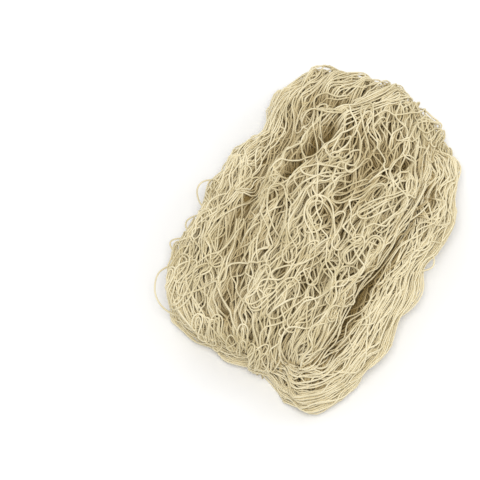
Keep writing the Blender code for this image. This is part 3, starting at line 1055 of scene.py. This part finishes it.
class Weave:
    """All strands of the net, laid on a pile, inside first. Each piece's runs of twine are taken from it."""

    def __init__(self, settings):
        self.radius = settings.twine / MM / 2
        self.seed = settings.seed
        self.families = []
        self.skin = Skin()
        self.pile = Pile(self.skin, -SHELL, self.radius)
        for number, layer in enumerate(LAYERS):
            self.lay_layer(layer, number, self.skin, self.pile)
        for number, row in enumerate(HAIRPINS):
            family = dict(zip(HAIRPIN_COLUMNS, row))
            seed = SEED_STEP * self.seed + HAIRPIN_SEED * number + FIRST_HAIRPIN
            paths = meanders(family, np.random.default_rng(seed), seed)
            self.lay_on_top("hairpins", paths, family["dip"], seed)
        self.lay_on_top("curls", curl_paths(np.random.default_rng(self.seed)), CURL_DIP, self.seed)
        self.offset = self.skin.relief - self.pile.mean_height(SETTLE) - NAP
        self.surface = self.pile.mean_height(LOCAL)
        self.bridging = blur_grid(self.skin.relief, BRIDGING / CELL)
        self.ground = Ground()
        self.base = Pile(self.ground, 0.0, self.radius)
        for number, layer in enumerate(UNDERSIDE):
            self.lay_layer(layer, FIRST_UNDERSIDE + number, self.ground, self.base)

    def lay_layer(self, layer, number, skin, pile):
        """Lays one of LAYERS or UNDERSIDE: its lattice, carried to its place on the unrolled skin."""
        seed = SEED_STEP * self.seed + LAYER_SEED * number
        guide = GUIDES.get(layer["where"])
        along = LAYER_LENGTH
        if guide:
            along = walked_along(guide)[-1] + layer["bar"]
        x, y = lattice(layer, int(math.ceil(along / layer["row"])), seed)
        if guide:
            x, y = turned(x, y, layer["turn"])
            x, y, room = along_guide(guide, x + vary("wander on a guide", x, y, seed), y)
            room = room - vary("ends on a guide", x, y, seed) - GUIDE_END
        else:
            aside = vary("bunches", x, y, seed) + vary("wander", x, y, seed)
            x, y = turned(x + aside, y + vary("drift", x, y, seed), layer["turn"])
            x, y = with_the_flow(skin, x, y)
            if layer["parts"]:
                shift = skin.sample(skin.parting, x, y)
                x, y = x + shift[..., 0], y + shift[..., 1]
            room = np.full(x.shape, ALL_INSIDE)
        if layer["where"] == "between":
            room = crease_room(skin.sample(skin.points, x, y), x, y) - vary("ends at a crease", x, y, seed)
            room = np.where(y < NEAR_PART, np.minimum(room, skin.sample(skin.rim, x, y) + NEAR_LAP), room)
        inside = (skin.sample(skin.cover, x, y) > 0) & (room > 0)
        dip = DIP * (1 - smooth_step(room, 0, DIP_LENGTH))
        self.lay_strands(layer, skin, pile, (x, y), inside, dip, seed)

    def lay_on_top(self, piece, path, dip, seed):
        """Loose strands. Their ends go down into the pile."""
        x, y, ends = path
        inside = ends > -DIP_LENGTH / 2
        dip = dip * (1 - smooth_step(ends, -DIP_LENGTH / 2, DIP_LENGTH))
        layer = dict(LOOSE, piece=piece, hold="taut")
        self.lay_strands(layer, self.skin, self.pile, (x, y), inside, dip, seed)

    def lay_strands(self, layer, skin, pile, path, inside, dip, seed):
        """Lays every fourth strand at a time, so that neighbours rest on each other where they touch."""
        x, y = path
        height = np.zeros_like(x)
        for turn in range(TURNS):
            now = slice(turn, None, TURNS)
            height[now] = pile.lay(x[now], y[now], inside[now], dip[now])
        self.families.append(dict(layer, skin=skin, x=x, y=y, height=height, inside=inside, seed=seed))

    def solid(self, family):
        """A family's points and outward normals in three dimensions, and how high they lie.

        That is over the strands round them, and a share of how high over the smooth skin, plus the layer's
        pale. This depth sets the twine's painted shade, and pale adds painted light.
        """
        skin, x, y = family["skin"], family["x"], family["y"]
        height, depth = family["height"], family["height"] - BASE_RISE
        if skin is self.skin:
            relief = skin.sample(skin.relief, x, y)
            held = relief
            if family["hold"] == "over":
                held = skin.sample(self.bridging, x, y)
            if family["hold"] == "taut":
                for width in TAUT:
                    held = np.maximum(held, blur(held, width, 1))
            # Painted shade: twine low among its neighbours and in creases gets a lower depth and so a
            # browner, darker colour
            depth = LOCAL_SHARE * (height - skin.sample(self.surface, x, y)) + RELIEF_SHARE * relief
            depth = depth + held - relief + family["pale"]
            height = height + blur(skin.sample(self.offset, x, y) + held - relief, LAST_BLUR, 1)
        points, normals = skin.sample(skin.points, x, y), skin.sample(skin.normals, x, y)
        points = points + normals * height[..., None]
        points[..., 2] = np.maximum(points[..., 2], FLOOR_CLEARANCE * self.radius)
        return points, normals, depth

    def runs(self, piece):
        """Runs of twine of a piece: the stretches of its strands that lie inside the bundle's outline."""
        found = []
        for family in self.families:
            if family["piece"] != piece:
                continue
            random = np.random.default_rng(family["seed"] + RUN_SEED)
            points, normals, depth = self.solid(family)
            for row, inside in enumerate(family["inside"][:, :: family["pick"]]):
                # A random tone for each strand, plus painted light or shade for its piece and painted light
                # for its pale
                shade = random.uniform(0, 1) + LIT_AND_SHADED_TONES.get(piece, 0) + PALE_PAINTED_LIGHT * family["pale"]
                girth = self.radius * family["girth"] * random.uniform(*GIRTHS)
                where = np.flatnonzero(inside)
                for part in np.split(where, np.flatnonzero(np.diff(where) > 1) + 1):
                    if len(part) >= LEAST_POINTS:
                        at = (row, part * family["pick"])
                        found.append(run_of_twine(points[at], normals[at], depth[at], girth, shade))
        return found

    def knots(self, pieces):
        """A short thick run at each knot: where a strand meets its neighbour on the even side."""
        found = []
        radius = self.radius * KNOT_GIRTH * KNOT_FORM
        for family in self.families:
            if family["piece"] not in pieces:
                continue
            points, normals, depth = self.solid(family)
            at = np.arange(0, points.shape[1] - KNOT_REACH - 1, SAMPLES)
            strand, bar = np.meshgrid(np.arange(len(points)), np.arange(len(at)), indexing="ij")
            here = ((strand + bar) % 2 == 0) & (bar > 0)
            here = here & family["inside"][:, at] & (points[:, at, 2] > KNOT_LENGTH)
            rows, columns = strand[here], at[bar[here]]
            ahead = unit(points[rows, columns + KNOT_REACH] - points[rows, columns - KNOT_REACH])
            for knot, way in zip(zip(rows, columns), ahead):
                along = points[knot] + way * (KNOT_STEPS * KNOT_LENGTH)[:, None]
                found.append(run_of_twine(along, normals[knot], depth[knot], radius, KNOT_SHADE))
        return found

    def loops(self):
        """Single bars that stand out of the bundle between two feet.

        Their height over the skin is (rise + root)*sin(pi s)^fullness - root, for s from 0 to 1.
        """
        found, skin = [], self.skin
        share = np.linspace(0, 1, LOOP_STEPS)
        for (start_x, start_y), (end_x, end_y), rise in LOOPS:
            x, y = start_x + (end_x - start_x) * share, start_y + (end_y - start_y) * share
            height = (rise + ROOT_DEPTH) * np.sin(math.pi * share) ** LOOP_FULLNESS - ROOT_DEPTH
            normals = skin.sample(skin.normals, x, y)
            lifted = normals * (height + skin.sample(skin.relief, x, y))[:, None]
            points = skin.sample(skin.points, x, y) + lifted
            side = np.cross(normals, np.gradient(points, axis=0))
            found.append(run_of_twine(points, side, height, self.radius, LOOP_SHADE))
        return found


def add_attribute(mesh, name, values):
    """A number for each point of a mesh, that its material reads."""
    mesh.attributes.new(name, "FLOAT", "POINT").data.foreach_set("value", values.astype(np.float32))


def tube_mesh(name, runs, sides=TWINE_SIDES):
    """One mesh of many tubes: a ring round each of a run's points, across its way, and closed ends.

    A ring's corners are point + radius*(cos(t)*side + sin(t)*other). UV holds the length walked and the
    share of the way round, and two attributes each run's shade and depth.
    """
    corners = np.arange(sides) * 2 * math.pi / sides
    cos, sin = np.cos(corners)[None, :, None], np.sin(corners)[None, :, None]
    tubes, base = [], 0
    for run in runs:
        points, count = run["points"], len(run["points"])
        tangent = unit(np.gradient(points, axis=0))
        side = unit(np.cross(tangent, run["normals"]))
        outward = cos * side[:, None] + sin * np.cross(side, tangent)[:, None]
        ring = points[:, None] + run["radius"][:, None, None] * outward
        length = walked_along(points)
        step, turn = np.meshgrid(np.arange(count - 1), np.arange(sides), indexing="ij")
        step, turn = step.reshape(-1), turn.reshape(-1)
        a, b = base + step * sides + turn, base + step * sides + (turn + 1) % sides
        along = length[np.stack([step, step, step + 1, step + 1], -1)]
        around = np.stack([turn, turn + 1, turn + 1, turn], -1) / sides
        first, last = np.arange(sides)[::-1], (count - 1) * sides + np.arange(sides)
        tubes.append(
            (
                ring.reshape(-1, 3),
                np.stack([a, b, b + sides, a + sides], -1),
                base + np.stack([first, last]),
                np.stack([along, around], -1).reshape(-1, 2),
                np.full(count * sides, run["shade"]),
                np.repeat(run["depth"], sides),
            )
        )
        base += count * sides
    points, quads, ends, uv, shade, depth = (np.concatenate(part) for part in zip(*tubes))
    loops = np.concatenate([quads.reshape(-1), ends.reshape(-1)])
    uv = np.concatenate([uv, np.zeros((ends.size, 2))])
    totals = np.concatenate([np.full(len(quads), 4), np.full(len(ends), sides)])
    starts = np.concatenate([[0], np.cumsum(totals)[:-1]])
    mesh = bpy.data.meshes.new(name)
    mesh.vertices.add(len(points))
    mesh.vertices.foreach_set("co", (points * MM).astype(np.float32).reshape(-1))
    mesh.loops.add(len(loops))
    mesh.loops.foreach_set("vertex_index", loops.astype(np.int32))
    mesh.polygons.add(len(totals))
    mesh.polygons.foreach_set("loop_start", starts.astype(np.int32))
    mesh.polygons.foreach_set("loop_total", totals.astype(np.int32))
    mesh.update(calc_edges=True)
    mesh.uv_layers.new(name="twine").data.foreach_set("uv", uv.astype(np.float32).reshape(-1))
    add_attribute(mesh, "shade", shade)
    add_attribute(mesh, "depth", depth)
    mesh.shade_smooth()
    return mesh


def core_mesh(weave):
    """The heap under the layers: rings of the unrolled skin, sunk by SHELL, from the top to the floor."""
    skin = weave.skin
    turn = np.arange(CORE_TURNS) * 2 * math.pi / CORE_TURNS
    floor = np.interp(np.degrees(turn), DEGREES, skin.to_floor)
    walk = np.linspace(0, 1, CORE_RINGS)[1:, None] * floor[None, :]
    x, y = walk * np.cos(turn), walk * np.sin(turn)
    depth = skin.sample(weave.offset, x, y) - SHELL
    points = skin.sample(skin.points, x, y) + skin.sample(skin.normals, x, y) * depth[..., None]
    points[..., 2] = np.maximum(points[..., 2], CORE_FOOT)
    count = len(walk)
    top = skin.sample(skin.points, np.zeros(1), np.zeros(1))[0] - (0, 0, SHELL)
    verts = np.concatenate([points.reshape(-1, 3), [top, (0, 0, CORE_FOOT)]]) * MM
    ring, k = np.meshgrid(np.arange(count - 1), np.arange(CORE_TURNS), indexing="ij")
    a, b = ring * CORE_TURNS + k, ring * CORE_TURNS + (k + 1) % CORE_TURNS
    quads = np.stack([a, a + CORE_TURNS, b + CORE_TURNS, b], -1).reshape(-1, 4)
    k = np.arange(CORE_TURNS)
    tip, foot, last = count * CORE_TURNS, count * CORE_TURNS + 1, (count - 1) * CORE_TURNS
    upper = np.stack([np.full(CORE_TURNS, tip), k, (k + 1) % CORE_TURNS], -1)
    lower = np.stack([np.full(CORE_TURNS, foot), last + (k + 1) % CORE_TURNS, last + k], -1)
    mesh = bpy.data.meshes.new("core")
    mesh.from_pydata(verts, [], quads.tolist() + upper.tolist() + lower.tolist())
    # The heap lies SHELL deep, so its twine colour is the darkest painted shade
    add_attribute(mesh, "depth", np.full(len(verts), -SHELL))
    mesh.shade_smooth()
    return mesh


class Socket:
    """A node's output in a sum: + - * / between sockets and numbers add the Math nodes."""

    def __init__(self, nodes, socket):
        self.nodes = nodes
        self.socket = socket

    def math(self, operation, *values):
        """A Math node that has this socket first."""
        return self.nodes.add("ShaderNodeMath", dict(operation=operation), dict(enumerate((self, *values))))

    def output(self, number):
        """Another output of the same node."""
        return Socket(self.nodes, self.socket.node.outputs[number])

    def sine(self):
        """Its sine."""
        return self.math("SINE")

    def kept_to_share(self):
        """Kept from 0 to 1."""
        return self.math("MAXIMUM", 0.0).math("MINIMUM", 1.0)

    def __add__(self, other):
        return self.math("ADD", other)

    __radd__ = __add__

    def __mul__(self, other):
        return self.math("MULTIPLY", other)

    __rmul__ = __mul__

    def __sub__(self, other):
        return self.math("SUBTRACT", other)

    def __rsub__(self, other):
        return self * -1.0 + other

    def __truediv__(self, other):
        return self.math("DIVIDE", other)

    def __rtruediv__(self, other):
        return self.math("POWER", -1.0) * other


class Nodes:
    """A material's nodes, each from one call: its type, settings, and the values or links of its sockets."""

    def __init__(self, name):
        self.material = bpy.data.materials.new(name)
        self.material.use_nodes = True
        self.tree = self.material.node_tree
        self.shader = self.tree.nodes["Principled BSDF"]

    def add(self, kind, settings, sockets, output=0):
        """A new node's output."""
        node = self.tree.nodes.new(kind)
        for key, value in settings.items():
            setattr(node, key, value)
        self.fill(node, sockets)
        return Socket(self, node.outputs[output])

    def fill(self, node, sockets):
        """Links a node's sockets, or gives them values."""
        for key, value in sockets.items():
            if isinstance(value, Socket):
                self.tree.links.new(value.socket, node.inputs[key])
            else:
                node.inputs[key].default_value = value

    def noise(self, place, scale, detail):
        """Noise over a place."""
        return self.add("ShaderNodeTexNoise", {}, {"Vector": place, "Scale": scale, "Detail": detail})

    def attribute(self, name):
        """A number of the mesh."""
        return self.add("ShaderNodeAttribute", dict(attribute_name=name), {}, output=2)

    def mix(self, share, first, second):
        """A colour between two, by the share of the second."""
        return self.add("ShaderNodeMix", dict(data_type="RGBA"), {0: share, 6: first, 7: second}, output=2)


def scaled(colour, factors):
    """A colour with its parts multiplied, at most 1, and opaque."""
    return tuple(min(part * factor, 1.0) for part, factor in zip(colour, factors)) + (1.0,)


def twine_material(settings):
    """Cotton twine of three plies: a slant wave round and along it for the twist, and a mottled cream.

    Twine lower down in the pile and in its creases is painted browner and darker, as painted shade. The
    share of the cream is CREAM_SHARE + depth / CREAM_DEPTH, and that of the lighter brown BROWN_SHARE +
    depth /
    BROWN_DEPTH, both kept from 0 to 1.
    """
    nodes = Nodes("cotton_twine")
    uv = nodes.add("ShaderNodeUVMap", dict(uv_map="twine"), {})
    along = nodes.add("ShaderNodeSeparateXYZ", {}, {0: uv})
    around = along.output(1)
    twist = (along * (2 * math.pi / TWIST_PITCH) + around * (2 * math.pi * PLIES)).sine()
    place = nodes.add("ShaderNodeTexCoord", {}, {}, output=3)
    patch, blotch, fibre = (nodes.noise(place, *grain[:2]) for grain in (PATCHES, BLOTCHES, FIBRES))
    mottling = patch * PATCHES[2] + blotch * BLOTCHES[2]
    # The tone is random mottling plus each run's shade, which holds painted light and shade for its piece
    tone = mottling + nodes.attribute("shade") * SHADE_SHARE + fibre * FIBRES[2] - TONE_SHIFT
    cream = nodes.mix(tone, scaled(settings.cotton, DIM), scaled(settings.cotton, BRIGHT))
    depth = nodes.attribute("depth")
    # Painted shade by depth: the cream gives way to brown, and the brown to its darkest
    share = (depth / CREAM_DEPTH + CREAM_SHARE).kept_to_share()
    lighter = (depth / BROWN_DEPTH + BROWN_SHARE).kept_to_share()
    brown = nodes.mix(lighter, scaled(settings.deep, DARKEST_PAINTED_SHADE), scaled(settings.deep, UNCHANGED))
    height = twist * TWIST_RELIEF + fibre * FIBRE_RELIEF
    surface = {
        "Base Color": nodes.mix(share, brown, cream),
        "Normal": nodes.add("ShaderNodeBump", {}, {"Height": height, **BUMP}),
        "Sheen Tint": scaled(settings.cotton, SHEEN_TINT),
        **FINISH,
    }
    nodes.fill(nodes.shader, surface)
    return nodes.material


READY = {}


def ready(context):
    """(weave, material) for the present settings, made anew only when a setting has changed."""
    settings = context.scene.net_settings
    key = (settings.twine, settings.seed, tuple(settings.cotton), tuple(settings.deep))
    if READY.get("key") != key:
        READY.update(key=key, weave=Weave(settings), material=twine_material(settings))
    return READY["weave"], READY["material"]


def add_object(name, data):
    """A new object in the scene."""
    made = bpy.data.objects.new(name, data)
    bpy.context.scene.collection.objects.link(made)
    return made


def put(thing, place, back):
    """Puts a camera or light at a place, with its back that way."""
    thing.location = place
    thing.rotation_mode = "QUATERNION"
    thing.rotation_quaternion = back.to_track_quat("Z", "Y")


def add_piece(name, mesh, material):
    """A finished piece: it rides on the bundle's body and stands for the plain solid."""
    mesh.materials.append(material)
    piece = add_object(name, mesh)
    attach(piece, BODY)
    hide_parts(NODE)


def add_runs(context, names):
    """Pieces of twine by name. Raises when a piece has no runs."""
    weave, material = ready(context)
    for name in names:
        runs = weave.runs(name)
        if not runs:
            raise RuntimeError(f"no strands were laid for {name}")
        add_piece("net_" + name, tube_mesh(name, runs), material)


class NET_OT_core(bpy.types.Operator):
    """Heap up the inside of the bundle"""

    bl_idname = "net.core"
    bl_label = "Core"

    def execute(self, context):
        weave, material = ready(context)
        add_piece("net_core", core_mesh(weave), material)
        return {"FINISHED"}


class NET_OT_underside(bpy.types.Operator):
    """Lay the sheets of net under the bundle"""

    bl_idname = "net.underside"
    bl_label = "Underside"

    def execute(self, context):
        add_runs(context, ["underside"])
        return {"FINISHED"}


class NET_OT_layers(bpy.types.Operator):
    """Lay the inner and middle layers of net"""

    bl_idname = "net.layers"
    bl_label = "Layers of Net"

    def execute(self, context):
        add_runs(context, ["inner", "middle_a", "middle_b"])
        return {"FINISHED"}


class NET_OT_rims(bpy.types.Operator):
    """Lay the bundles of strands along the rims"""

    bl_idname = "net.rims"
    bl_label = "Rims"

    def execute(self, context):
        add_runs(context, ["rims"])
        return {"FINISHED"}


class NET_OT_upper(bpy.types.Operator):
    """Lay the loose upper layers between the creases"""

    bl_idname = "net.upper"
    bl_label = "Upper Layers"

    def execute(self, context):
        add_runs(context, ["upper_a", "upper_b", "top"])
        return {"FINISHED"}


class NET_OT_loops(bpy.types.Operator):
    """Lay narrow loops on top, and stand single ones up from the rims"""

    bl_idname = "net.loops"
    bl_label = "Loops"

    def execute(self, context):
        add_runs(context, ["hairpins", "curls"])
        weave, material = ready(context)
        add_piece("net_loops", tube_mesh("loops", weave.loops()), material)
        return {"FINISHED"}


class NET_OT_knots(bpy.types.Operator):
    """Tie the knots of the upper layers"""

    bl_idname = "net.knots"
    bl_label = "Knots"

    def execute(self, context):
        weave, material = ready(context)
        knots = weave.knots(("rims", "upper_a", "upper_b", "top"))
        add_piece("net_knots", tube_mesh("knots", knots), material)
        return {"FINISHED"}


class NET_OT_stage(bpy.types.Operator):
    """Set up the floor, the soft lights and the camera"""

    bl_idname = "net.stage"
    bl_label = "Stage"

    def execute(self, context):
        scene, settings = context.scene, context.scene.net_settings
        mesh = bpy.data.meshes.new("floor")
        corners = [(x * FLOOR_HALF, y * FLOOR_HALF, 0) for x, y in ((-1, -1), (1, -1), (1, 1), (-1, 1))]
        mesh.from_pydata(corners, [], [(0, 1, 2, 3)])
        nodes = Nodes("floor")
        nodes.fill(nodes.shader, FLOOR_FINISH)
        mesh.materials.append(nodes.material)
        add_object("floor", mesh)
        azimuth, elevation = math.radians(AZIMUTH), math.radians(ELEVATION)
        level = math.cos(elevation)
        back = Vector((math.sin(azimuth) * level, -math.cos(azimuth) * level, math.sin(elevation)))
        right = Vector((math.cos(azimuth), math.sin(azimuth), 0))
        up = back.cross(right)
        aim = Vector((0, 0, AIM_HEIGHT))
        aim = aim - right * (AIM_X - IMAGE / 2) * PIXEL * MM + up * (AIM_Y - IMAGE / 2) * PIXEL * MM
        view = bpy.data.cameras.new("camera")
        view.sensor_width = SENSOR
        view.lens = SENSOR * DISTANCE / (IMAGE * PIXEL * MM)
        camera = add_object("camera", view)
        put(camera, aim + back * DISTANCE, back)
        scene.camera = camera
        scene.world = bpy.data.worlds.new("studio")
        scene.world.use_nodes = True
        sky = scene.world.node_tree.nodes["Background"].inputs
        sky["Color"].default_value = SKY_COLOUR
        sky["Strength"].default_value = settings.sky
        scene.view_settings.view_transform = "Standard"
        for name, place, size, power in (
            ("key", KEY_PLACE, KEY_SIZE, settings.key),
            ("side", SIDE_PLACE, SIDE_SIZE, settings.side),
            ("front", aim + back * FRONT_BACK + up * FRONT_UP, FRONT_SIZE, settings.front),
        ):
            light = bpy.data.lights.new(name, "AREA")
            light.size = size
            light.energy = power
            put(add_object(name, light), place, Vector(place))
        return {"FINISHED"}


class NET_PT_panel(bpy.types.Panel):
    """The net's sizes and the steps that build it"""

    bl_label = "Net"
    bl_space_type = "VIEW_3D"
    bl_region_type = "UI"
    bl_category = "Net"

    def draw(self, context):
        for name in NetSettings.__annotations__:
            self.layout.prop(context.scene.net_settings, name)
        for step in STEPS:
            self.layout.operator(step.bl_idname)


STEPS = (
    NET_OT_stage,
    NET_OT_core,
    NET_OT_underside,
    NET_OT_layers,
    NET_OT_rims,
    NET_OT_upper,
    NET_OT_loops,
    NET_OT_knots,
)
CLASSES = (NetSettings, *STEPS, NET_PT_panel)


def register():
    """Registers the classes and the scene's settings."""
    for item in CLASSES:
        bpy.utils.register_class(item)
    bpy.types.Scene.net_settings = PointerProperty(type=NetSettings)


def unregister():
    """Takes away what register added."""
    del bpy.types.Scene.net_settings
    for item in reversed(CLASSES):
        bpy.utils.unregister_class(item)


def main():
    """Builds the net and its stage."""
    register()
    bpy.ops.net.stage()
    bpy.ops.net.core()
    bpy.ops.net.underside()
    bpy.ops.net.layers()
    bpy.ops.net.rims()
    bpy.ops.net.upper()
    bpy.ops.net.loops()
    bpy.ops.net.knots()


if __name__ == "__main__":
    main()
